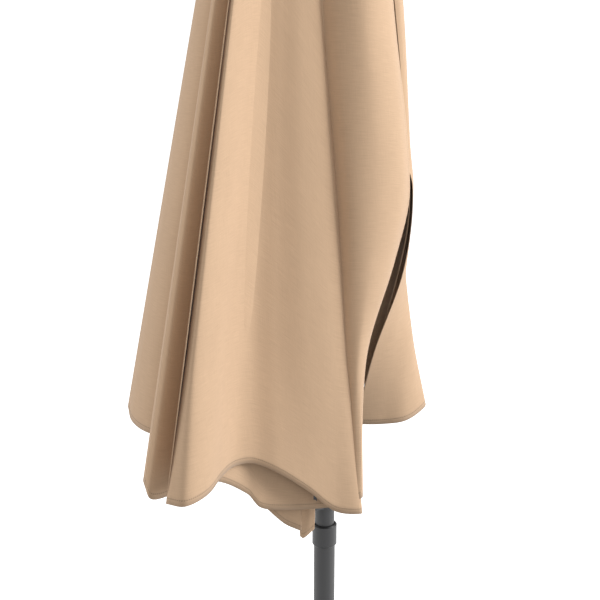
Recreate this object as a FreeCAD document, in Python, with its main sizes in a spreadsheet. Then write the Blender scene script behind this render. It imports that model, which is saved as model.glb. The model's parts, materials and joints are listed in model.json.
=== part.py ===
import FreeCAD, Part
import math
import os

# Half-round patio umbrella with a two-piece pole, five folding ribs and a weighted base, shown closed.
# Millimetres, +Z up. The origin is on the pole's axis, at the ground. The wall side is +Y.

doc = FreeCAD.newDocument("patio_umbrella")
sheet = doc.addObject("Spreadsheet::Sheet", "Sizes")
rows = {}


def size(alias, value):
    """One driving dimension: a named cell of the sheet."""
    row = len(rows) + 1
    sheet.set(f"A{row}", alias)
    sheet.set(f"B{row}", str(value))
    sheet.setAlias(f"B{row}", alias)
    rows[alias] = float(value)


# Base
size("base_radius", 300)
size("base_thick", 26)
size("base_back", 95)
size("foot_height", 6)
size("foot_radius", 22)
size("sleeve_wall", 2.5)
size("sleeve_height", 300)
size("flange_radius", 70)
size("flange_thick", 6)
size("bolt_radius", 4)
size("bolt_circle", 52)
size("knob_radius", 21)
size("knob_stud_radius", 4)
# Pole
size("lower_radius", 19)
size("upper_radius", 17.5)
size("pole_wall", 1.45)
size("run_gap", 0.05)
size("collar_radius", 22)
size("collar_height", 41)
size("collar_top", 940)
size("plug_depth", 150)
size("hinge_height", 2330)
# Folding frame
size("hinge_radius", 42)
size("rib_length", 1290)
size("rib_width", 10)
size("rib_depth", 16)
size("rib_wall", 1.2)
size("rib_drop", 16)
size("rest_angle", 1.3)
size("open_angle", 66)
size("strut_length", 600)
size("strut_size", 10)
size("pin_radius", 2.5)
size("side_gap", 0.4)
size("ear_thick", 2.5)
size("hub_radius", 54)
size("hub_height", 34)
size("runner_radius", 28)
size("runner_height", 44)
size("rib_step", 46.5)
# Crank
size("crank_drop", 1025)
size("crank_arm_length", 80)
size("crank_tilt", 25)
size("spool_radius", 20)
# Canopy
size("cloth_thick", 1.2)
size("seam_clear", 8)
size("seam_gap", 7)
size("fold_gap", 11)
size("tuck_gap", 2.4)
size("fold_top_gap", 8)
size("tuck_share", 0.3)
size("flap_low", 1420)
size("hem_height", 1040)
size("strap_width", 26)
doc.recompute()


def get(name):
    return float(sheet.get(name))


def bind(obj, **props):
    """Ties the object's sizes to the sheet; words in the expression are aliases."""
    for prop, text in props.items():
        words = sorted(rows, key=len, reverse=True)
        done, i = "", 0
        while i < len(text):
            hit = next((w for w in words if text.startswith(w, i)), None)
            if hit and (i == 0 or not (text[i - 1].isalnum() or text[i - 1] == "_")):
                done, i = done + "Sizes." + hit, i + len(hit)
            else:
                done, i = done + text[i], i + 1
        obj.setExpression(prop.replace("__", "."), done)
    return obj


def rod(name, radius, height, at=(0, 0, 0), along=(0, 0, 1)):
    """A cylinder that starts at a place and runs along a direction."""
    obj = bind(doc.addObject("Part::Cylinder", name), Radius=radius, Height=height)
    turn = FreeCAD.Rotation(FreeCAD.Vector(0, 0, 1), FreeCAD.Vector(*along))
    obj.Placement = FreeCAD.Placement(FreeCAD.Vector(*at), turn)
    return obj


def block(name, length, width, height, at):
    """A box from its lowest corner."""
    obj = bind(doc.addObject("Part::Box", name), Length=length, Width=width, Height=height)
    obj.Placement.Base = FreeCAD.Vector(*at)
    return obj


def fuse(name, *shapes):
    obj = doc.addObject("Part::MultiFuse", name)
    obj.Shapes = list(shapes)
    return obj


def cut(name, base, *tools):
    obj = doc.addObject("Part::Cut", name)
    obj.Base = base
    obj.Tool = tools[0] if len(tools) == 1 else fuse(name + "_tools", *tools)
    return obj


def group(name, *shapes):
    obj = doc.addObject("Part::Compound", name)
    obj.Links = list(shapes)
    return obj


nodes = []


def piece(obj, label):
    """Marks a finished sub-part; its label names its file."""
    obj.Label = label
    nodes.append(obj)
    return obj


def azimuth(k):
    """The angle in plan of rib k, from +X; the middle rib points to -Y, away from the wall."""
    return (3 - k) * get("rib_step") - 90


def swing(k, tilt, pivot_r, pivot_z):
    """Turns a shape that was made hanging in the X-Z plane outwards by tilt, and round to rib k."""
    out = FreeCAD.Placement(
        FreeCAD.Vector(), FreeCAD.Rotation(FreeCAD.Vector(0, -1, 0), tilt), FreeCAD.Vector(pivot_r, 0, pivot_z)
    )
    return FreeCAD.Placement(FreeCAD.Vector(), FreeCAD.Rotation(FreeCAD.Vector(0, 0, 1), azimuth(k))).multiply(out)


foot = get("foot_height")
top_of_base = foot + get("base_thick")
lower_r, upper_r, gap = get("lower_radius"), get("upper_radius"), get("run_gap")
collar_top, collar_h = get("collar_top"), get("collar_height")
hinge_z, hinge_r = get("hinge_height"), get("hinge_radius")


# Base weight: a half-round slab with its flat side to the wall.
disc = rod("slab_disc", "base_radius", "base_thick", (0, 0, foot))
wall_side = block(
    "slab_wall_side", "base_radius * 2 + 20", "base_radius", "base_thick + 20",
    (-get("base_radius") - 10, get("base_back"), foot - 10),
)
bolt_places = [
    (get("bolt_circle") * math.cos(math.radians(a)), get("bolt_circle") * math.sin(math.radians(a)))
    for a in (45, 135, 225, 315)
]
bolt_depth = 18
slab_holes = [
    rod(f"slab_hole_{i}", "bolt_radius + run_gap", "base_thick", (x, y, top_of_base - bolt_depth))
    for i, (x, y) in enumerate(bolt_places)
]
slab = cut("slab", disc, wall_side, *slab_holes)
slab_edge = doc.addObject("Part::Fillet", "slab_rounded")
doc.recompute()
slab_edge.Base = slab
slab_edge.Edges = [
    (i + 1, 12, 12)
    for i, edge in enumerate(slab.Shape.Edges)
    if abs(edge.BoundBox.ZMin - top_of_base) < 0.01 and abs(edge.BoundBox.ZMax - top_of_base) < 0.01
    and edge.Length > 200
]
piece(slab_edge, "base_weight")

# Feet: rubber pads under the slab, one of them under the pole.
reach = get("base_radius") - 60
feet = [rod("foot_middle", "foot_radius * 2", "foot_height", (0, 0, 0))] + [
    rod(f"foot_{i}", "foot_radius", "foot_height", (x, y, 0))
    for i, (x, y) in enumerate([(-reach * 0.9, 40), (reach * 0.9, 40), (-reach * 0.6, -reach * 0.75),
                                (reach * 0.6, -reach * 0.75)])
]
piece(group("feet", *feet), "base_feet")

# Sleeve: a steel tube welded to a round flange, bolted to the slab, with a nut boss for the clamp screw.
boss_z = top_of_base + get("sleeve_height") - 45
sleeve_bore = rod("sleeve_bore", "lower_radius + run_gap", "sleeve_height + 20", (0, 0, top_of_base - 10))
sleeve = cut(
    "sleeve",
    fuse(
        "sleeve_body",
        rod("sleeve_tube", "lower_radius + run_gap + sleeve_wall", "sleeve_height", (0, 0, top_of_base)),
        rod("sleeve_flange", "flange_radius", "flange_thick", (0, 0, top_of_base)),
        rod("sleeve_boss", "knob_stud_radius + 6", "lower_radius + sleeve_wall + 12", (0, 0, boss_z), (0, -1, 0)),
    ),
    sleeve_bore,
    rod("sleeve_thread", "knob_stud_radius + run_gap", "base_radius", (0, 0, boss_z), (0, -1, 0)),
    *[rod(f"flange_hole_{i}", "bolt_radius + run_gap", "flange_thick + 4", (x, y, top_of_base - 2))
      for i, (x, y) in enumerate(bolt_places)],
)
piece(sleeve, "base_sleeve")

# Bolts: four hex-socket screws that hold the flange down.
bolts = []
for i, (x, y) in enumerate(bolt_places):
    shank = rod(f"bolt_shank_{i}", "bolt_radius", "flange_thick + 16", (x, y, top_of_base - 16))
    head = rod(f"bolt_head_{i}", "bolt_radius + 3.5", "bolt_radius + 1", (x, y, top_of_base + get("flange_thick")))
    socket = rod(f"bolt_socket_{i}", "bolt_radius - 1", "bolt_radius",
                 (x, y, top_of_base + get("flange_thick") + 2.5))
    bolts.append(cut(f"bolt_{i}", fuse(f"bolt_blank_{i}", shank, head), socket))
piece(group("bolts", *bolts), "base_bolts")

# Clamp knob: a lobed knob on a stud that presses on the lower pole.
stud_start = lower_r + 0.3
knob_start = lower_r + get("sleeve_wall") + 14
knob_lobes = [
    rod(f"knob_lobe_{i}", "knob_radius / 2.6", "18",
        (0.62 * get("knob_radius") * math.cos(i * math.pi / 3), -knob_start,
         boss_z + 0.62 * get("knob_radius") * math.sin(i * math.pi / 3)), (0, -1, 0))
    for i in range(6)
]
knob = fuse(
    "knob",
    rod("knob_stud", "knob_stud_radius", "sleeve_wall + 20", (0, -stud_start, boss_z), (0, -1, 0)),
    rod("knob_core", "knob_radius * 0.7", "20", (0, -knob_start, boss_z), (0, -1, 0)),
    *knob_lobes,
)
piece(knob, "clamp_knob")

# Lower pole: a tube standing on the slab, with a ledge inside that the upper pole rests on.
lower_top = collar_top - 6
ledge_z = collar_top - get("plug_depth")
lower = cut(
    "lower_tube_cut",
    rod("lower_tube", "lower_radius", f"{lower_top - top_of_base}", (0, 0, top_of_base)),
    rod("lower_bore", "upper_radius + run_gap", f"{lower_top - ledge_z + 5}", (0, 0, ledge_z)),
    rod("lower_bore_2", "upper_radius - 3", "plug_depth * 8", (0, 0, top_of_base - 5)),
    rod("lower_bore_3", "upper_radius + run_gap", f"{ledge_z - 20 - top_of_base + 5}", (0, 0, top_of_base - 5)),
)
piece(lower, "lower_pole")

# Collar: a moulded ring round the joint of the two poles, rounded at both rims.
collar_body = doc.addObject("PartDesign::Body", "CollarBody")
plane = next(f for f in collar_body.Origin.OriginFeatures if f.Role == "XZ_Plane")
profile = collar_body.newObject("Sketcher::SketchObject", "CollarProfile")
profile.AttachmentSupport = [(plane, "")]
profile.MapMode = "FlatFace"
inner, outer = lower_r + gap, get("collar_radius")
corner = 2.0
low, high = collar_top - collar_h, collar_top
outline = [(inner, low), (outer - corner, low), (outer, low + corner), (outer, high - corner),
           (outer - corner, high), (inner, high)]
for (x0, y0), (x1, y1) in zip(outline, outline[1:] + outline[:1]):
    profile.addGeometry(Part.LineSegment(FreeCAD.Vector(x0, y0, 0), FreeCAD.Vector(x1, y1, 0)), False)
collar = collar_body.newObject("PartDesign::Revolution", "CollarRing")
collar.Profile = profile
collar.ReferenceAxis = (profile, ["V_Axis"])
collar.Angle = 360
piece(collar_body, "pole_collar")

# Upper pole: it plugs into the lower one and carries the hub.
pole_top = hinge_z + 20
upper = cut(
    "upper_tube_cut",
    rod("upper_tube", "upper_radius", f"{pole_top - ledge_z}", (0, 0, ledge_z)),
    rod("upper_bore", "upper_radius - pole_wall", f"{pole_top - ledge_z + 20}", (0, 0, ledge_z - 10)),
)
piece(upper, "upper_pole")

# Hub: a moulded crown with a slot and a pin for each rib.
slot_half = get("rib_width") / 2 + get("side_gap")
hub_low = hinge_z - get("hub_height") / 2
hub_tools = [rod("hub_bore", "upper_radius + run_gap", f"{pole_top - hub_low + 10.05}", (0, 0, hub_low - 10))]
hub_pins = []
for k in range(1, 6):
    a = math.radians(azimuth(k))
    slot = block(f"hub_slot_{k}", "hub_radius", "rib_width + side_gap * 2", "hub_height + 40",
                 (hinge_r - 12, -slot_half, hub_low - 30))
    slot.Placement = FreeCAD.Placement(
        FreeCAD.Vector(), FreeCAD.Rotation(FreeCAD.Vector(0, 0, 1), azimuth(k))
    ).multiply(slot.Placement)
    centre = FreeCAD.Vector(hinge_r * math.cos(a), hinge_r * math.sin(a), hinge_z)
    side = FreeCAD.Vector(-math.sin(a), math.cos(a), 0)
    start = centre - side * (slot_half + 5)
    hub_tools += [slot, rod(f"hub_pin_hole_{k}", "pin_radius + run_gap", "rib_width + side_gap * 2 + 10",
                            tuple(start), tuple(side))]
    hub_pins.append(rod(f"hub_pin_{k}", "pin_radius", "rib_width + side_gap * 2 + 9.6",
                        tuple(start + side * 0.2), tuple(side)))
hub_cap = rod("hub_cap", "hub_radius - 4", "10", (0, 0, hinge_z + get("hub_height") / 2 + 10))
hub = cut("hub_cut", fuse("hub_blank", rod("hub_crown", "hub_radius", "hub_height", (0, 0, hub_low)), hub_cap,
                          rod("hub_neck", "upper_radius + 8", "hub_height", (0, 0, hub_low + 5))), *hub_tools)
piece(hub, "hub")
piece(group("hub_pin_set", *hub_pins), "hub_pins")

# Finial: a turned knob on top of the canopy.
finial_z = hinge_z + get("hub_height") / 2 + 20.1
ball = doc.addObject("Part::Sphere", "finial_ball")
bind(ball, Radius="upper_radius")
ball.Placement.Base = FreeCAD.Vector(0, 0, finial_z + 34)
finial = fuse("finial_body", rod("finial_foot", "upper_radius + 12", "8", (0, 0, finial_z)),
              rod("finial_neck", "upper_radius / 2", "30", (0, 0, finial_z)), ball)
piece(finial, "finial")

# Runner: the sleeve that pushes the struts up, with a pair of ears for each strut.
rest = math.radians(get("rest_angle"))
runner_z = hinge_z - 2 * get("strut_length") * math.cos(rest)
runner_parts = [rod("runner_tube", "runner_radius", "runner_height", (0, 0, runner_z - get("runner_height") / 2))]
rivets = []
ear_half = get("strut_size") / 2 + get("side_gap")
for k in range(1, 6):
    turn = FreeCAD.Placement(FreeCAD.Vector(), FreeCAD.Rotation(FreeCAD.Vector(0, 0, 1), azimuth(k)))
    for side in (-1, 1):
        low_y = ear_half if side > 0 else -ear_half - get("ear_thick")
        ear = block(f"runner_ear_{k}_{side + 1}", "hinge_radius - runner_radius + 12", "ear_thick", "24",
                    (get("runner_radius") - 5, low_y, runner_z - 12))
        ear.Placement = turn.multiply(ear.Placement)
        runner_parts.append(ear)
        start_y = side * (ear_half + get("ear_thick"))
        head = rod(f"runner_rivet_{k}_{side + 1}", "pin_radius + 1.5", "1.5", (hinge_r, start_y, runner_z),
                   (0, side, 0))
        head.Placement = turn.multiply(head.Placement)
        rivets.append(head)
runner = cut("runner_cut", fuse("runner_blank", *runner_parts),
             rod("runner_bore", "upper_radius + run_gap * 2", "runner_height * 2",
                 (0, 0, runner_z - get("runner_height"))))
piece(runner, "runner")
piece(group("runner_rivet_set", *rivets), "runner_rivets")

# Ribs, their tips, rivets and struts, made hanging in one plane and turned to their places.
rib_in = get("rib_drop") - get("rib_depth") / 2
half_w = get("rib_width") / 2
strut_l = get("strut_length")
for k in range(1, 6):
    tube_top = hinge_z - 22
    tube_len = get("rib_length") - 22
    tube = cut(
        f"rib_tube_cut_{k}",
        block(f"rib_tube_{k}", "rib_depth", "rib_width", "rib_length - 22",
              (hinge_r + rib_in, -half_w, tube_top - tube_len)),
        block(f"rib_hollow_{k}", "rib_depth - rib_wall * 2", "rib_width - rib_wall * 2", "rib_length - 60",
              (hinge_r + rib_in + get("rib_wall"), -half_w + get("rib_wall"), tube_top - tube_len - 5)),
    )
    eye = rod(f"rib_eye_{k}", "pin_radius + 4.5", "rib_width", (hinge_r, -half_w, hinge_z), (0, 1, 0))
    tongue = block(f"rib_tongue_{k}", "rib_drop + rib_depth / 2", "rib_width", "36",
                   (hinge_r - 0.1 * rib_in, -half_w, hinge_z - 36))
    ears = []
    for side in (-1, 1):
        low_y = ear_half if side > 0 else -ear_half - get("ear_thick")
        ears.append(block(f"rib_ear_{k}_{side + 1}", "rib_drop", "ear_thick", "26",
                          (hinge_r - 7, low_y, hinge_z - strut_l - 13)))
    saddle = block(f"rib_saddle_{k}", "3", "strut_size + side_gap * 2 + ear_thick * 2", "26",
                   (hinge_r + rib_in - 0.5, -ear_half - get("ear_thick"), hinge_z - strut_l - 13))
    rib = cut(f"rib_cut_{k}", fuse(f"rib_blank_{k}", tube, eye, tongue, saddle, *ears),
              rod(f"rib_hub_hole_{k}", "pin_radius + run_gap", "60", (hinge_r, -30, hinge_z), (0, 1, 0)),
              rod(f"rib_strut_hole_{k}", "pin_radius + run_gap", "60", (hinge_r, -30, hinge_z - strut_l), (0, 1, 0)))
    rib.Placement = swing(k, get("rest_angle"), hinge_r, hinge_z)
    piece(rib, f"rib_{k}")

    tip_z = hinge_z - get("rib_length")
    tip_blank = fuse(
        f"tip_blank_{k}",
        block(f"tip_block_{k}", "rib_depth + 4", "rib_width + 4", "40", (hinge_r + rib_in - 2, -half_w - 2, tip_z - 12)),
        rod(f"tip_nose_{k}", "rib_depth / 2", "rib_width + 4",
            (hinge_r + rib_in + get("rib_depth") / 2, -half_w - 2, tip_z - 12), (0, 1, 0)),
    )
    tip = cut(f"tip_cut_{k}", tip_blank,
              block(f"tip_pocket_{k}", "rib_depth + run_gap * 2", "rib_width + run_gap * 2", "60",
                    (hinge_r + rib_in - gap, -half_w - gap, tip_z)))
    tip.Placement = swing(k, get("rest_angle"), hinge_r, hinge_z)
    piece(tip, f"rib_tip_{k}")

    rivet = fuse(
        f"rivet_{k}",
        rod(f"rivet_shank_{k}", "pin_radius", "strut_size + side_gap * 2 + ear_thick * 2 + 1",
            (hinge_r, -ear_half - get("ear_thick") - 0.5, hinge_z - strut_l), (0, 1, 0)),
        rod(f"rivet_head_{k}", "pin_radius + 1.8", "1.5", (hinge_r, ear_half + get("ear_thick"), hinge_z - strut_l),
            (0, 1, 0)),
        rod(f"rivet_tail_{k}", "pin_radius + 1.8", "1.5", (hinge_r, -ear_half - get("ear_thick"), hinge_z - strut_l),
            (0, -1, 0)),
    )
    rivet.Placement = swing(k, get("rest_angle"), hinge_r, hinge_z)
    piece(rivet, f"rib_rivet_{k}")

    joint_r = hinge_r + strut_l * math.sin(rest)
    joint_z = hinge_z - strut_l * math.cos(rest)
    half_s = get("strut_size") / 2
    bar = block(f"strut_bar_{k}", "strut_size", "strut_size", "strut_length",
                (joint_r - half_s, -half_s, joint_z - strut_l))
    hollow = block(f"strut_hollow_{k}", "strut_size - 2.4", "strut_size - 2.4", "strut_length - 60",
                   (joint_r - half_s + 1.2, -half_s + 1.2, joint_z - strut_l + 30))
    ends = [rod(f"strut_end_{k}_{i}", "strut_size / 2 + 1", "strut_size", (joint_r, -half_s, z), (0, 1, 0))
            for i, z in enumerate((joint_z, joint_z - strut_l))]
    holes = [rod(f"strut_hole_{k}_{i}", "pin_radius + run_gap", "60", (joint_r, -30, z), (0, 1, 0))
             for i, z in enumerate((joint_z, joint_z - strut_l))]
    strut = cut(f"strut_cut_{k}", fuse(f"strut_blank_{k}", bar, *ends), hollow, *holes)
    strut.Placement = swing(k, -get("rest_angle"), joint_r, joint_z)
    piece(strut, f"strut_{k}")

# Crank: a housing clamped on the upper pole, with a spool, an arm and a knob.
crank_z = get("crank_drop")
housing = cut(
    "crank_housing_cut",
    fuse("crank_housing_blank",
         rod("crank_clamp", "upper_radius + 7", "90", (0, 0, crank_z - 50)),
         block("crank_case", "52", "36", "78", (-26, -upper_r - 36, crank_z - 44))),
    rod("crank_pole_bore", "upper_radius + run_gap", "120", (0, 0, crank_z - 60)),
    block("crank_inside", "44", "22", "66", (-22, -upper_r - 31, crank_z - 38)),
    rod("crank_axle_hole", "4 + run_gap", "20", (0, -upper_r - 25, crank_z), (0, -1, 0)),
)
piece(housing, "crank_housing")
spool = cut(
    "spool_cut",
    fuse("spool_blank",
         rod("spool_flange_a", "spool_radius", "2", (0, -upper_r - 11, crank_z), (0, -1, 0)),
         rod("spool_core", "spool_radius * 0.6", "16", (0, -upper_r - 12, crank_z), (0, -1, 0)),
         rod("spool_flange_b", "spool_radius", "2", (0, -upper_r - 27, crank_z), (0, -1, 0)),
         rod("spool_axle", "4", "27", (0, -upper_r - 12, crank_z), (0, -1, 0))),
    rod("spool_bolt_hole", "1.5", "12", (0, -upper_r - 30, crank_z), (0, -1, 0)),
)
piece(spool, "cord_spool")
tilt = math.radians(get("crank_tilt"))
arm_l = get("crank_arm_length")
arm_y = -upper_r - 39
arm_bar = block("arm_bar", "12", "6", "crank_arm_length", (-6, arm_y - 3, crank_z))
arm_bar.Placement = FreeCAD.Placement(
    FreeCAD.Vector(), FreeCAD.Rotation(FreeCAD.Vector(0, 1, 0), math.degrees(tilt)), FreeCAD.Vector(0, 0, crank_z)
).multiply(arm_bar.Placement)
knob_x, knob_z = arm_l * math.sin(tilt), crank_z + arm_l * math.cos(tilt)
arm = cut(
    "arm_cut",
    fuse("arm_blank", arm_bar,
         rod("arm_boss", "9", "6", (0, arm_y + 3, crank_z), (0, -1, 0)),
         rod("arm_end", "7", "6", (knob_x, arm_y + 3, knob_z), (0, -1, 0)),
         rod("arm_peg", "3", "34", (knob_x, arm_y, knob_z), (0, -1, 0))),
    rod("arm_axle_hole", "4 + run_gap", "20", (0, arm_y + 10, crank_z), (0, -1, 0)),
)
piece(arm, "crank_arm")
crank_knob = cut("crank_knob_cut",
                 rod("crank_knob_grip", "8.5", "28", (knob_x, arm_y - 3.5, knob_z), (0, -1, 0)),
                 rod("crank_knob_bore", "3 + run_gap", "40", (knob_x, arm_y, knob_z), (0, -1, 0)))
piece(crank_knob, "crank_knob")

# Lifting cord and the pulley it runs over, inside the upper pole.
pulley_z = pole_top - 40
pulley = cut("pulley_cut", rod("pulley_wheel", "8", "5", (0, -2.5, pulley_z), (0, 1, 0)),
             rod("pulley_bore", "2 + run_gap", "20", (0, -10, pulley_z), (0, 1, 0)))
piece(pulley, "top_pulley")
axle = rod("pulley_axle_rod", "2", "upper_radius * 2 - pole_wall * 2 - 0.8",
           (0, -upper_r + get("pole_wall") + 0.4, pulley_z),
           (0, 1, 0))
piece(axle, "pulley_axle")
cord = rod("lift_cord_run", "1.5", f"{pulley_z - crank_z - 30}", (-9.6, 0, crank_z + 30))
piece(cord, "lift_cord")

# Canopy: the cloth hangs in folds round the closed ribs. Each gore has a front and a back layer, which meet at
# a fold, and the two flaps on the wall side end in free hems. A layer is a thin solid between two outlines in
# plan, near the hub and at the hem. Places are to the right of, and towards, someone who faces the fold side.
facing = math.radians(60)


def plan(right, near):
    """A place in plan from its distance to the right and towards the viewer of the folds."""
    return (right * math.cos(facing) + near * math.sin(facing), right * math.sin(facing) - near * math.cos(facing))


def layer(name, top, bottom, low, high):
    """A thin closed solid through two open outlines of the same number of points."""
    half = get("cloth_thick") / 2

    def wire(outline, z):
        points = [plan(*p) for p in outline]
        sides = ([], [])
        for i, (x, y) in enumerate(points):
            (ax, ay), (bx, by) = points[max(i - 1, 0)], points[min(i + 1, len(points) - 1)]
            length = math.hypot(bx - ax, by - ay)
            nx, ny = -(by - ay) / length, (bx - ax) / length
            sides[0].append(FreeCAD.Vector(x + nx * half, y + ny * half, z))
            sides[1].append(FreeCAD.Vector(x - nx * half, y - ny * half, z))
        ring = sides[0] + sides[1][::-1]
        return Part.makePolygon(ring + ring[:1])

    obj = doc.addObject("Part::Feature", name)
    obj.Shape = Part.makeLoft([wire(top, high), wire(bottom, low)], True, True)
    return piece(obj, name)


def seam(k, down):
    """Where the cloth is sewn along rib k, to the right and towards the viewer, at a depth below the hinge."""
    angle = math.radians(azimuth(k) + 90) - facing
    r = hinge_r + get("rib_drop") + get("rib_depth") / 2 + get("seam_clear") + down * math.tan(rest)
    return (r * math.sin(angle), r * math.cos(angle))


def along(a, b, distance):
    length = math.hypot(b[0] - a[0], b[1] - a[1])
    return (a[0] + (b[0] - a[0]) / length * distance, a[1] + (b[1] - a[1]) / length * distance)


def outlines(k, inner_points, end, top_end, down):
    """The plan outlines, near the hub and at the hem, of a layer from the seam of rib k to its fold."""
    start, head = seam(k, down), seam(k, hinge_z - cloth_top)
    chord = (end[0] - start[0], end[1] - start[1])
    top_chord = (top_end[0] - head[0], top_end[1] - head[1])
    span = chord[0] ** 2 + chord[1] ** 2
    top = []
    for x, y in inner_points + [end]:
        dx, dy = x - start[0], y - start[1]
        share = (dx * chord[0] + dy * chord[1]) / span
        off = (dx - share * chord[0], dy - share * chord[1])
        top.append((head[0] + share * top_chord[0] + off[0] * top_bulge,
                    head[1] + share * top_chord[1] + off[1] * top_bulge))
    beside = get("seam_gap")
    return [along(head, top[0], beside)] + top, [along(start, inner_points[0], beside)] + inner_points + [end]


def aside(outline, distance):
    """The outline moved sideways, starting clear of the seam and ending short of the fold."""
    step = math.hypot(outline[1][0] - outline[0][0], outline[1][1] - outline[0][1])
    outline = [along(outline[0], outline[1], 0.35 * step)] + outline[1:]
    moved = []
    for i in range(len(outline)):
        (ax, ay), (bx, by) = outline[max(i - 1, 0)], outline[min(i + 1, len(outline) - 1)]
        length = math.hypot(bx - ax, by - ay)
        x, y = outline[i]
        moved.append((x - (by - ay) / length * distance, y + (bx - ax) / length * distance))
    last = math.hypot(moved[-1][0] - moved[-2][0], moved[-1][1] - moved[-2][1])
    moved[-1] = along(moved[-2], moved[-1], get("tuck_share") * last)
    return moved


cloth_top = hinge_z - 30
hem = get("hem_height")
top_share = 0.30
top_bulge = 0.45
fall = hinge_z - hem

# Each gore: the ribs it spans, its fold at the hem, and the outlines of its front and back layers.
gores = {
    1: (1, 2, (-247, 325), [(0, 122), (-60, 140), (-110, 160), (-155, 218), (-187, 300), (-215, 336)],
        [(-75, 122), (-160, 174), (-225, 262)]),
    2: (2, 3, (-290, 262), [(-72, 92), (-170, 146), (-250, 226)], [(-150, 92), (-240, 152), (-290, 215)]),
    3: (3, 4, (-353, -22), [(-160, 66), (-270, 72), (-335, 30)], [(-180, -62), (-270, -92), (-335, -70)]),
    4: (4, 5, (181, -184), [(-145, -100), (-110, -190), (0, -242), (110, -250)],
        [(0, -128), (75, -142), (145, -148)]),
}
for number, (first_rib, last_rib, fold, front, back) in gores.items():
    heads = [seam(k, hinge_z - cloth_top) for k in (first_rib, last_rib)]
    starts = [seam(k, fall) for k in (first_rib, last_rib)]
    fold_top = [
        (heads[0][i] + heads[1][i]) / 2 + top_share * (fold[i] - (starts[0][i] + starts[1][i]) / 2) for i in (0, 1)
    ]
    for word, rib_number, points, turn in (("front", first_rib, front, 1), ("back", last_rib, back, -1)):
        near_fold = along(fold, points[-1], get("fold_gap"))
        beyond = (fold_top[0] + points[-1][0] - fold[0], fold_top[1] + points[-1][1] - fold[1])
        top, bottom = outlines(rib_number, points, near_fold, along(fold_top, beyond, get("fold_top_gap")), fall)
        layer(f"gore_{number}_{word}", top, bottom, hem, cloth_top)
        tuck = get("tuck_gap") * turn
        layer(f"gore_{number}_{word}_tuck", aside(top, tuck), aside(bottom, tuck), hem, cloth_top)

# Wall flaps: they end in free hems, which part from a point high on the wall side down to the end ribs.
flap_low = get("flap_low")
for number, rib_number, points, end, top_end in (
    (1, 1, [(100, 92), (126, 50)], (132, 0), (64, 0)),
    (5, 5, [(10, -96), (75, -90)], (122, -30), (58, -32)),
):
    top, bottom = outlines(rib_number, points, end, top_end, hinge_z - flap_low)
    layer(f"wall_flap_{number}", top, bottom, flap_low, cloth_top)

# Strap: a folded band with a pointed end that hangs at the front of the pole.
strap_top = 1000
strap_w = get("strap_width")
strap = doc.addObject("Part::Feature", "strap_band")
sx, sy = plan(-31, 60)
ux, uy = math.cos(facing), math.sin(facing)
half = strap_w / 2
corners = [(-half, strap_top), (half, strap_top), (half, 948), (0, 940), (-half, 948)]
face = Part.Face(Part.makePolygon([FreeCAD.Vector(sx + ux * c, sy + uy * c, z) for c, z in corners + corners[:1]]))
strap.Shape = face.extrude(FreeCAD.Vector(math.sin(facing) * 3, -math.cos(facing) * 3, 0))
piece(strap, "canopy_strap")

doc.recompute()
for obj in doc.Objects:
    if "Invalid" in obj.State or "Error" in obj.State:
        raise SystemExit(f"{obj.Name} failed: {obj.State}")
for obj in nodes:
    if obj.Shape.isNull() or not obj.Shape.isValid():
        raise SystemExit(f"{obj.Label} has no valid shape")
os.makedirs("parts", exist_ok=True)
for obj in nodes:
    obj.Shape.exportStep(f"parts/{obj.Label}.step")
print(len(nodes), "sub-parts")
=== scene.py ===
import json
import math

import bpy
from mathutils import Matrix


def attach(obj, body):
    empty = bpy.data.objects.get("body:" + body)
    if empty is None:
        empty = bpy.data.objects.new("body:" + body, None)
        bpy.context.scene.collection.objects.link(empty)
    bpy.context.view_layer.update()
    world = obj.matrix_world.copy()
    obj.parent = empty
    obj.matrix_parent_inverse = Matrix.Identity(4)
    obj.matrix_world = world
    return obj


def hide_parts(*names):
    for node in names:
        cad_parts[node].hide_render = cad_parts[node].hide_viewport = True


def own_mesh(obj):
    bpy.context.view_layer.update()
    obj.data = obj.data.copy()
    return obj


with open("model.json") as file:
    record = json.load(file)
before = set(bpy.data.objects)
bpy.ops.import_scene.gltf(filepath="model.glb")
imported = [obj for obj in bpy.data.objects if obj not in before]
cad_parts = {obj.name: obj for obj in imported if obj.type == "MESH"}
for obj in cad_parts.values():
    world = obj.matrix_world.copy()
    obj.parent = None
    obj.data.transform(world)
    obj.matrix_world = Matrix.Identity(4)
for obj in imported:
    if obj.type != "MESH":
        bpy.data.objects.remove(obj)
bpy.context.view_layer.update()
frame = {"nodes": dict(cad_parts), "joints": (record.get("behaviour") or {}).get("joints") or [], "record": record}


# Studio floor: a wide flat pale sheet. It glows a little so that it looks even, and it doesn't light the
# object from below. It is only the stage and isn't part of the umbrella.
bpy.ops.object.select_all(action="DESELECT")
bpy.ops.mesh.primitive_plane_add(size=400, location=(0, 0, 0))
floor = bpy.context.object
floor.name = "studio_floor"
white = bpy.data.materials.new("studio_white")
white.use_nodes = True
shader = white.node_tree.nodes["Principled BSDF"]
shader.inputs["Base Color"].default_value = (0.9, 0.9, 0.9, 1)
shader.inputs["Roughness"].default_value = 0.9
shader.inputs["Emission Color"].default_value = (1, 1, 1, 1)
shader.inputs["Emission Strength"].default_value = 0.8
floor.data.materials.append(white)
floor.visible_diffuse = False


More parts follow.
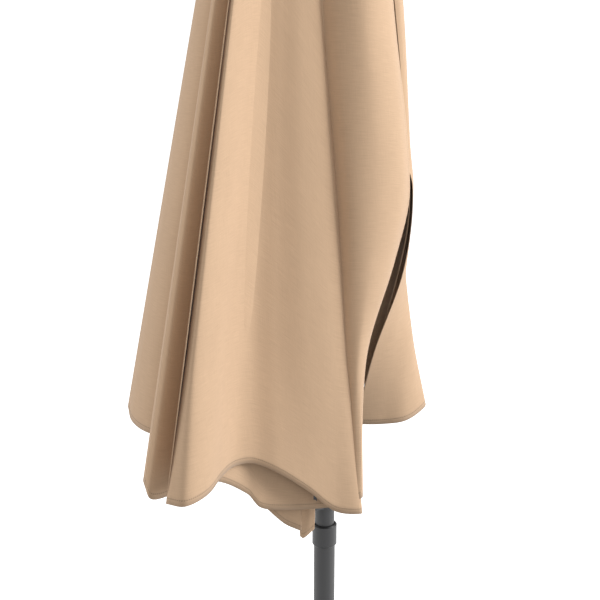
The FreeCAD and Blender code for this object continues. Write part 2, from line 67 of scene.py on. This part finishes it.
# Lights: a broad key from the right, a weaker lamp from the left, a dim one in front, and pale air.
# Places are given to the right of the pole and towards the camera's side, in metres.
def soft_light(name, place, aim, width, power):
    lamp_data = bpy.data.lights.new(name, "AREA")
    lamp_data.shape = "RECTANGLE"
    lamp_data.size = width
    lamp_data.size_y = width
    lamp_data.energy = power
    lamp = bpy.data.objects.new(name, lamp_data)
    bpy.context.scene.collection.objects.link(lamp)
    lamp.location = place
    run = [aim[i] - place[i] for i in range(3)]
    flat = math.hypot(run[0], run[1])
    lamp.rotation_euler = (math.atan2(flat, -run[2]), 0, math.atan2(run[1], run[0]) - math.pi / 2)


facing = math.radians(60)


def plan(right, near):
    """A place in plan from its distance to the right of the pole and towards the camera's side."""
    return (
        right * math.cos(facing) + near * math.sin(facing),
        right * math.sin(facing) - near * math.cos(facing),
    )


soft_light("key", (*plan(3.6, 0.3), 2.6), (0, 0, 1.4), 2.2, 185)
soft_light("left", (*plan(-3.6, 0.1), 2.3), (0, 0, 1.3), 2.4, 70)
soft_light("front", (*plan(0.8, 4.0), 3.2), (0, 0, 1.2), 2.5, 34)
world = bpy.data.worlds.new("studio_air")
world.use_nodes = True
world.node_tree.nodes["Background"].inputs["Color"].default_value = (1, 1, 1, 1)
world.node_tree.nodes["Background"].inputs["Strength"].default_value = 0.46
bpy.context.scene.world = world
bpy.context.scene.view_settings.view_transform = "Standard"

# Camera: a 72 mm lens about 2 m from the pole and 1.9 m up, looking 15.5 degrees down.
# It stands 44 mm left of the pole, so that the pole is right of the middle.
camera_data = bpy.data.cameras.new("camera")
camera_data.sensor_width = 36
camera_data.lens = 72
camera = bpy.data.objects.new("camera", camera_data)
bpy.context.scene.collection.objects.link(camera)
camera.location = (*plan(-0.044, 1.968), 1.90)
camera.rotation_euler = (math.radians(90 - 15.5), 0, facing)
bpy.context.scene.camera = camera


# Canopy cloth: woven polyester in warm sand. The yarns show as faint lines across the drop, with a
# little mottling and a soft sheen. A row of darker stitches runs beside each hem.
def sand_cloth(name, colour):
    cloth = bpy.data.materials.new(name)
    cloth.use_nodes = True
    tree = cloth.node_tree
    nodes, links = tree.nodes, tree.links
    shader = nodes["Principled BSDF"]
    shader.inputs["Roughness"].default_value = 0.9
    shader.inputs["Sheen Weight"].default_value = 0.12
    shader.inputs["Sheen Roughness"].default_value = 0.5
    shader.inputs["Specular IOR Level"].default_value = 0.2
    place = nodes.new("ShaderNodeUVMap")
    place.uv_map = "cloth"
    edge = nodes.new("ShaderNodeUVMap")
    edge.uv_map = "hem"

    def stretched(scale_u, scale_v, detail):
        spread = nodes.new("ShaderNodeMapping")
        spread.inputs["Scale"].default_value = (scale_u, scale_v, 1)
        links.new(place.outputs["UV"], spread.inputs["Vector"])
        noise = nodes.new("ShaderNodeTexNoise")
        noise.inputs["Scale"].default_value = 1
        noise.inputs["Detail"].default_value = detail
        links.new(spread.outputs["Vector"], noise.inputs["Vector"])
        return noise

    def maths(kind, first, second, third=None):
        node = nodes.new("ShaderNodeMath")
        node.operation = kind
        for socket, value in zip(node.inputs, (first, second, third)):
            if isinstance(value, (int, float)):
                socket.default_value = value
            elif value is not None:
                links.new(value, socket)
        return node.outputs["Value"]

    weft = stretched(36, 800, 3)
    warp = stretched(800, 30, 3)
    mottle = stretched(11, 11, 4)
    yarns = maths("MULTIPLY_ADD", warp.outputs["Fac"], 0.5, weft.outputs["Fac"])
    grain = maths("MULTIPLY_ADD", mottle.outputs["Fac"], 0.4, yarns)
    tint = nodes.new("ShaderNodeMapRange")
    tint.inputs["From Min"].default_value = 0.55
    tint.inputs["From Max"].default_value = 1.35
    tint.inputs["To Min"].default_value = 0.0
    tint.inputs["To Max"].default_value = 1.0
    links.new(grain, tint.inputs["Value"])
    shade = nodes.new("ShaderNodeMix")
    shade.data_type = "RGBA"
    shade.inputs["A"].default_value = (*[c * 0.9 for c in colour], 1)
    shade.inputs["B"].default_value = (*[c * 1.1 for c in colour], 1)
    links.new(tint.outputs["Result"], shade.inputs["Factor"])
    split = nodes.new("ShaderNodeSeparateXYZ")
    links.new(edge.outputs["UV"], split.inputs["Vector"])
    row = maths("COMPARE", split.outputs["Y"], 0.009, 0.0009)
    stitch = maths("LESS_THAN", maths("FRACT", maths("MULTIPLY", split.outputs["X"], 260), 0.0), 0.72)
    thread = maths("MULTIPLY", maths("MULTIPLY", row, stitch), 0.55)
    sewn = nodes.new("ShaderNodeMix")
    sewn.data_type = "RGBA"
    sewn.inputs["B"].default_value = (*[c * 0.4 for c in colour], 1)
    links.new(thread, sewn.inputs["Factor"])
    links.new(shade.outputs["Result"], sewn.inputs["A"])
    links.new(sewn.outputs["Result"], shader.inputs["Base Color"])
    double = maths("LESS_THAN", split.outputs["Y"], 0.012)
    raised = maths("MULTIPLY_ADD", double, 1.2, grain)
    pressed = maths("MULTIPLY_ADD", row, -1.0, raised)
    relief = nodes.new("ShaderNodeBump")
    relief.inputs["Strength"].default_value = 0.25
    relief.inputs["Distance"].default_value = 0.0007
    links.new(pressed, relief.inputs["Height"])
    links.new(relief.outputs["Normal"], shader.inputs["Normal"])
    return cloth


sand = sand_cloth("sand_cloth", (0.52, 0.355, 0.228))


def smooth_through(points, share):
    """A place on the smooth curve through the points, at a share of the way by chord length."""
    steps = [0.0]
    for a, b in zip(points, points[1:]):
        steps.append(steps[-1] + math.dist(a, b) + 1e-9)
    reach = share * steps[-1]
    i = max(k for k in range(len(points) - 1) if steps[k] <= reach + 1e-12)
    span = steps[i + 1] - steps[i]
    u = (reach - steps[i]) / span

    def slope(k):
        a, b = max(k - 1, 0), min(k + 1, len(points) - 1)
        return [(q - p) / (steps[b] - steps[a]) for p, q in zip(points[a], points[b])]

    return [
        (2 * u**3 - 3 * u**2 + 1) * p + (u**3 - 2 * u**2 + u) * span * s0
        + (3 * u**2 - 2 * u**3) * q + (u**3 - u**2) * span * s1
        for p, q, s0, s1 in zip(points[i], points[i + 1], slope(i), slope(i + 1))
    ]


def drape(name, levels, across=80, down=90, free_side=False, part=(0, 1), short=1):
    """A hanging sheet through outlines at several heights, each a list of (right, near, height) in mm.

    part is the share of its width that it covers, and short the share of its drop. Its UV map "cloth" is in
    metres of cloth, and "hem" holds the run along the hem and the distance from it.
    """
    bpy.ops.object.select_all(action="DESELECT")
    bpy.ops.mesh.primitive_grid_add(x_subdivisions=across, y_subdivisions=down, size=1)
    sheet = bpy.context.object
    sheet.name = sheet.data.name = name
    mesh = sheet.data
    first, last = part
    columns = [
        [smooth_through(level, first + (last - first) * i / across) for level in levels]
        for i in range(across + 1)
    ]
    where, place = {}, {}
    for v in mesh.vertices:
        i, j = round((v.co.x + 0.5) * across), round((0.5 - v.co.y) * down)
        right, near, height = smooth_through(columns[i], short * j / down)
        v.co = (*[c / 1000 for c in plan(right, near)], height / 1000)
        where[v.index] = (i, j)
        place[i, j] = v.co.copy()
    up, run = {}, {}
    for i in range(across + 1):
        up[i, down] = 0.0
        for j in range(down - 1, -1, -1):
            up[i, j] = up[i, j + 1] + (place[i, j] - place[i, j + 1]).length
    for j in range(down + 1):
        run[0, j] = 0.0
        for i in range(1, across + 1):
            run[i, j] = run[i - 1, j] + (place[i, j] - place[i - 1, j]).length
    mesh.uv_layers.active.name = "cloth"
    hem = mesh.uv_layers.new(name="hem")
    cloth = mesh.uv_layers["cloth"]
    for loop in mesh.loops:
        i, j = where[loop.vertex_index]
        cloth.data[loop.index].uv = (run[i, j], up[i, j])
        hem.data[loop.index].uv = (run[i, down], up[i, j])
        if free_side and run[across, j] - run[i, j] < up[i, j]:
            hem.data[loop.index].uv = (up[i, j], run[across, j] - run[i, j])
    bpy.ops.object.shade_smooth()
    mesh.materials.append(sand)
    return sheet


def cloth_piece(sheet, body, nodes, flatten=None):
    """A sheet given a thickness and hung on its body, with its CAD part hidden; with flatten, it gets a mesh of
    its own.

    Its width, drop and area are measured on the mesh itself, so they are not a separate cutting size, and a width
    over twice area / drop is trimmed to that; nothing uses them afterwards.
    """
    mesh = sheet.data
    area = sum(p.area for p in mesh.polygons)
    across = [v.uv[0] for v in mesh.uv_layers["cloth"].data]
    down = [v.uv[1] for v in mesh.uv_layers["cloth"].data]
    width, drop = max(across) - min(across), max(down) - min(down)
    width = min(width, 2 * area / drop)
    thick = sheet.modifiers.new("thickness", "SOLIDIFY")
    thick.thickness = 0.0011
    thick.offset = 0
    bpy.ops.object.select_all(action="DESELECT")
    sheet.select_set(True)
    bpy.context.view_layer.objects.active = sheet
    bpy.ops.object.modifier_apply(modifier=thick.name)
    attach(sheet, body)
    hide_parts(*nodes)
    if flatten:
        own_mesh(sheet)


def tuck(name, levels, first, last):
    """The cloth that a fold takes up: a sheet just inside its layer, short of the seam, fold and hem."""
    inner = drape(name, levels, across=40, down=60, part=(first, last), short=0.93)
    inset = 0.0028
    moves = [v.normal * inset for v in inner.data.vertices]
    for v, move in zip(inner.data.vertices, moves):
        v.co += move
    return inner


def flat_way(panel, fold):
    """The direction in which a panel's folds flatten, square to the sheet between its seam and its fold."""
    seam = next(j for j in frame["joints"] if j["name"] == panel + "_fold")
    corner = (*[c / 1000 for c in plan(fold[0], fold[1])], fold[2] / 1000)
    a, c = seam["axis"], [corner[i] - seam["pos_m"][i] for i in range(3)]
    square = (a[1] * c[2] - a[2] * c[1], a[2] * c[0] - a[0] * c[2], a[0] * c[1] - a[1] * c[0])
    return square, tuple(seam["pos_m"])


def gore_layer(panel, fold, levels):
    """A gore's layer with its tuck, hung on the panel's body and on the tuck's own body."""
    flatten = flat_way(panel, fold)
    layer = drape("canopy_" + panel, levels)
    inner = tuck("canopy_" + panel + "_tuck", levels, *((0.3, 0.92) if "front" in panel else (0.08, 0.7)))
    cloth_piece(layer, panel, [panel], flatten)
    cloth_piece(inner, panel + "_tuck", [panel + "_tuck"], flatten)


# Gore 1, the large front one: its front sheet runs from a crease across a soft trough to a rounded fold,
# and its back sheet returns behind it, so that its hem shows under the arch.
fold = (-243, 330, 1131)
gore_layer("gore_1_front", fold, [
    [(-52, 50, 2352), (-50, 62, 2352), (-53, 70, 2352), (-58, 74, 2352), (-63, 76, 2352), (-68, 78, 2352),
     (-72, 82, 2352), (-76, 84, 2352), (-82, 76, 2352), (-82, 66, 2352)],
    [(22, 66, 1375), (30, 82, 1375), (8, 102, 1375), (-34, 120, 1375), (-84, 132, 1375), (-122, 146, 1375),
     (-148, 184, 1375), (-172, 244, 1375), (-196, 278, 1375), (-208, 268, 1375)],
    [(61, 74, 1002), (60, 94, 1002), (16, 110, 1014), (-30, 130, 1060), (-80, 150, 1102), (-120, 162, 1124),
     (-148, 184, 1129), (-166, 232, 1132), (-184, 306, 1134), (-214, 342, 1132), fold],
])
gore_layer("gore_1_back", fold, [
    [(-82, 66, 2352), (-76, 60, 2352), (-50, 54, 2352), (-20, 62, 2352), (10, 60, 2352)],
    [fold, (-238, 292, 1140), (-178, 206, 1112), (-130, 150, 1064), (-112, 138, 1036), (-91, 124, 1024),
     (-42, 102, 1014), (16, 84, 1010)],
])

# Gore 2 is a narrow fold beside the large one; its lower corner hangs at the second rib.
fold = (-284, 256, 1126)
gore_layer("gore_2_front", fold, [
    [(-30, 50, 2352), (-60, 58, 2352), (-84, 66, 2352), (-96, 62, 2352), (-98, 54, 2352)],
    [(-41, 95, 970), (-71, 98, 986), (-110, 112, 1030), (-160, 150, 1092), (-210, 200, 1108), (-256, 244, 1102),
     (-276, 262, 1108), fold],
])
gore_layer("gore_2_back", fold, [
    [(-98, 54, 2352), (-94, 44, 2352), (-78, 38, 2352), (-60, 34, 2352)],
    [fold, (-288, 236, 1130), (-268, 190, 1130), (-180, 110, 1090), (-96, 60, 1020)],
])

# Gore 3 hangs at the left as one broad fold.
fold = (-348, -26, 1152)
gore_layer("gore_3_front", fold, [
    [(-64, 38, 2352), (-80, 38, 2352), (-98, 28, 2352), (-110, 8, 2352), (-112, -6, 2352)],
    [(-96, 52, 1000), (-170, 80, 1080), (-246, 92, 1138), (-300, 72, 1141), (-334, 24, 1143), fold],
])
gore_layer("gore_3_back", fold, [
    [(-112, -6, 2352), (-108, -20, 2352), (-92, -30, 2352), (-69, -20, 2352)],
    [fold, (-336, -66, 1150), (-270, -92, 1130), (-180, -64, 1070), (-104, -30, 1000)],
])

# Gore 4 wraps round the back to the right. The near side of its fold shows beside the slit.
fold = (184, -180, 1124)
gore_layer("gore_4_front", fold, [
    [(-72, -22, 2352), (-80, -48, 2352), (-50, -84, 2352), (0, -98, 2352), (40, -100, 2352), (60, -88, 2352)],
    [(-97, -32, 1398), (-130, -90, 1398), (-98, -168, 1398), (0, -206, 1398), (88, -204, 1398),
     (120, -182, 1398), (130, -158, 1398)],
    [(-104, -34, 1000), (-145, -100, 1060), (-110, -190, 1120), (0, -236, 1135), (110, -236, 1130),
     (168, -208, 1125), fold],
])
gore_layer("gore_4_back", fold, [
    [(60, -88, 2352), (66, -76, 2352), (66, -56, 2352), (62, -36, 2352), (50, -18, 2352)],
    [(95, -124, 1850), (114, -100, 1850), (124, -60, 1850), (117, -30, 1850), (96, -18, 1850)],
    [(110, -142, 1620), (128, -116, 1620), (139, -76, 1620), (139, -42, 1620), (120, -18, 1620)],
    [(116, -147, 1545), (132, -122, 1545), (142, -84, 1545), (148, -50, 1545), (145, -22, 1545)],
    [(130, -158, 1398), (140, -134, 1398), (143, -104, 1398), (142, -70, 1398), (135, -40, 1398)],
    [(156, -171, 1243), (163, -142, 1243), (158, -108, 1243), (126, -76, 1243), (86, -50, 1243)],
    [fold, (190, -152, 1116), (187, -128, 1112), (150, -96, 1098), (104, -86, 1095), (56, -78, 1098)],
])

# Wall flaps: the two free edges of the wall side, which part into a slit. The near one runs from the crease
# to its own free hem, which curves down and back to the first rib; the far one is inside the slit.
flap = drape("canopy_wall_flap_1", [
    [(-56, 56, 2352), (-20, 72, 2352), (20, 70, 2352), (48, 50, 2352), (56, 18, 2352)],
    [(-26, 62, 1850), (10, 84, 1850), (56, 82, 1850), (92, 46, 1850), (104, 0, 1850)],
    [(2, 68, 1560), (34, 94, 1560), (80, 86, 1560), (120, 52, 1560), (138, 0, 1548)],
    [(12, 74, 1440), (38, 94, 1440), (72, 88, 1436), (102, 58, 1428), (115, 8, 1425)],
    [(24, 84, 1300), (38, 94, 1300), (54, 94, 1298), (66, 78, 1292), (71, 52, 1290)],
    [(40, 88, 1190), (44, 92, 1190), (50, 93, 1190), (57, 90, 1190), (61, 80, 1190)],
    [(48, 90, 1030), (51, 93, 1030), (55, 94, 1030), (60, 92, 1030), (63, 84, 1030)],
], free_side=True)
cloth_piece(flap, "wall_flap_1", ["wall_flap_1"])
flap = drape("canopy_wall_flap_5", [
    [(46, -20, 2352), (44, -50, 2352), (10, -62, 2352), (-34, -66, 2352)],
    [(140, -26, 1545), (132, -60, 1545), (80, -96, 1545), (-36, -84, 1545)],
    [(128, -46, 1398), (118, -78, 1398), (60, -100, 1398), (-40, -88, 1398)],
    [(54, -84, 1108), (40, -92, 1104), (10, -98, 1096), (-46, -94, 1086)],
])
cloth_piece(flap, "wall_flap_5", ["wall_flap_5"])

# Crown: a small round of the same cloth that closes the top round the finial's washer.
bpy.ops.object.select_all(action="DESELECT")
bpy.ops.mesh.primitive_grid_add(x_subdivisions=64, y_subdivisions=10, size=1)
crown = bpy.context.object
crown.name = crown.data.name = "canopy_crown"
rim = [(-84, 80), (-56, 82), (-20, 78), (20, 76), (54, 54), (66, 16), (72, -36), (66, -84), (36, -108),
       (-10, -106), (-56, -92), (-86, -56), (-112, -26), (-118, 2), (-106, 30), (-98, 62), (-84, 80)]
for v in crown.data.vertices:
    share, out = v.co.x + 0.5, 0.5 - v.co.y
    edge = smooth_through([(x, y, 0) for x, y in rim], share)
    inner = 20 / math.hypot(edge[0], edge[1])
    scale = inner + (1 - inner) * out
    drop = 10 * out + 12 * max(0, out - 0.86) / 0.14
    v.co = (*[c / 1000 for c in plan(edge[0] * scale, edge[1] * scale)], (2365 - drop) / 1000)
bpy.ops.object.shade_smooth()
crown.data.uv_layers.active.name = "cloth"
crown.data.uv_layers.new(name="hem")
for loop in crown.data.loops:
    u, v = crown.data.uv_layers["cloth"].data[loop.index].uv
    crown.data.uv_layers["cloth"].data[loop.index].uv = (u * 0.5, v * 0.1)
    crown.data.uv_layers["hem"].data[loop.index].uv = (u * 0.5, v * 0.1)
crown.data.materials.append(sand)
thick = crown.modifiers.new("thickness", "SOLIDIFY")
thick.thickness = 0.0012
bpy.context.view_layer.objects.active = crown
bpy.ops.object.modifier_apply(modifier=thick.name)
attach(crown, "upper")


# Pole and frame: steel tube with a charcoal powder coat, satin, with a fine orange-peel texture.
def coated(name, colour, rough, grain, depth):
    paint = bpy.data.materials.new(name)
    paint.use_nodes = True
    nodes, links = paint.node_tree.nodes, paint.node_tree.links
    shader = nodes["Principled BSDF"]
    where = nodes.new("ShaderNodeTexCoord")
    peel = nodes.new("ShaderNodeTexNoise")
    peel.inputs["Scale"].default_value = grain
    peel.inputs["Detail"].default_value = 4
    links.new(where.outputs["Object"], peel.inputs["Vector"])
    tone = nodes.new("ShaderNodeValToRGB")
    tone.color_ramp.elements[0].color = (*[c * 0.82 for c in colour], 1)
    tone.color_ramp.elements[1].color = (*[c * 1.18 for c in colour], 1)
    links.new(peel.outputs["Fac"], tone.inputs["Fac"])
    links.new(tone.outputs["Color"], shader.inputs["Base Color"])
    wear = nodes.new("ShaderNodeMapRange")
    wear.inputs["To Min"].default_value = rough - 0.06
    wear.inputs["To Max"].default_value = rough + 0.08
    links.new(peel.outputs["Fac"], wear.inputs["Value"])
    links.new(wear.outputs["Result"], shader.inputs["Roughness"])
    relief = nodes.new("ShaderNodeBump")
    relief.inputs["Strength"].default_value = depth
    relief.inputs["Distance"].default_value = 0.0004
    links.new(peel.outputs["Fac"], relief.inputs["Height"])
    links.new(relief.outputs["Normal"], shader.inputs["Normal"])
    return paint


charcoal = coated("charcoal_coat", (0.018, 0.018, 0.019), 0.48, 900, 0.15)
moulded = coated("black_moulding", (0.03, 0.031, 0.033), 0.55, 600, 0.2)
collar_black = coated("collar_moulding", (0.007, 0.007, 0.008), 0.42, 500, 0.12)
rubber = coated("foot_rubber", (0.02, 0.02, 0.02), 0.85, 400, 0.3)
cast = coated("cast_coat", (0.055, 0.057, 0.06), 0.7, 220, 0.6)
zinc = coated("zinc_plate", (0.55, 0.56, 0.57), 0.35, 500, 0.08)
zinc.node_tree.nodes["Principled BSDF"].inputs["Metallic"].default_value = 1.0
braid = coated("braided_cord", (0.6, 0.58, 0.53), 0.9, 1400, 0.8)
finishes = {
    "charcoal_metal": charcoal,
    "black_plastic": moulded,
    "collar_plastic": collar_black,
    "black_rubber": rubber,
    "cast_base": cast,
    "steel": zinc,
    "cord": braid,
}
for part in frame["record"]["subparts"]:
    node = frame["nodes"][part["node"]]
    if part["material_slot"] in finishes:
        for i in range(len(node.material_slots)):
            node.material_slots[i].material = finishes[part["material_slot"]]

# Tie strap: a band of the canopy's cloth with a pointed end, hanging beside the pole.
strap = drape("tie_strap", [
    [(-44, 62, 1040), (-31, 65, 1040), (-18, 62, 1040)],
    [(-45, 62, 990), (-31, 66, 990), (-18, 61, 990)],
    [(-44, 61, 944), (-38, 63, 941), (-19, 60, 957)],
], across=16, down=24)
cloth_piece(strap, "rib_2", ["canopy_strap"])
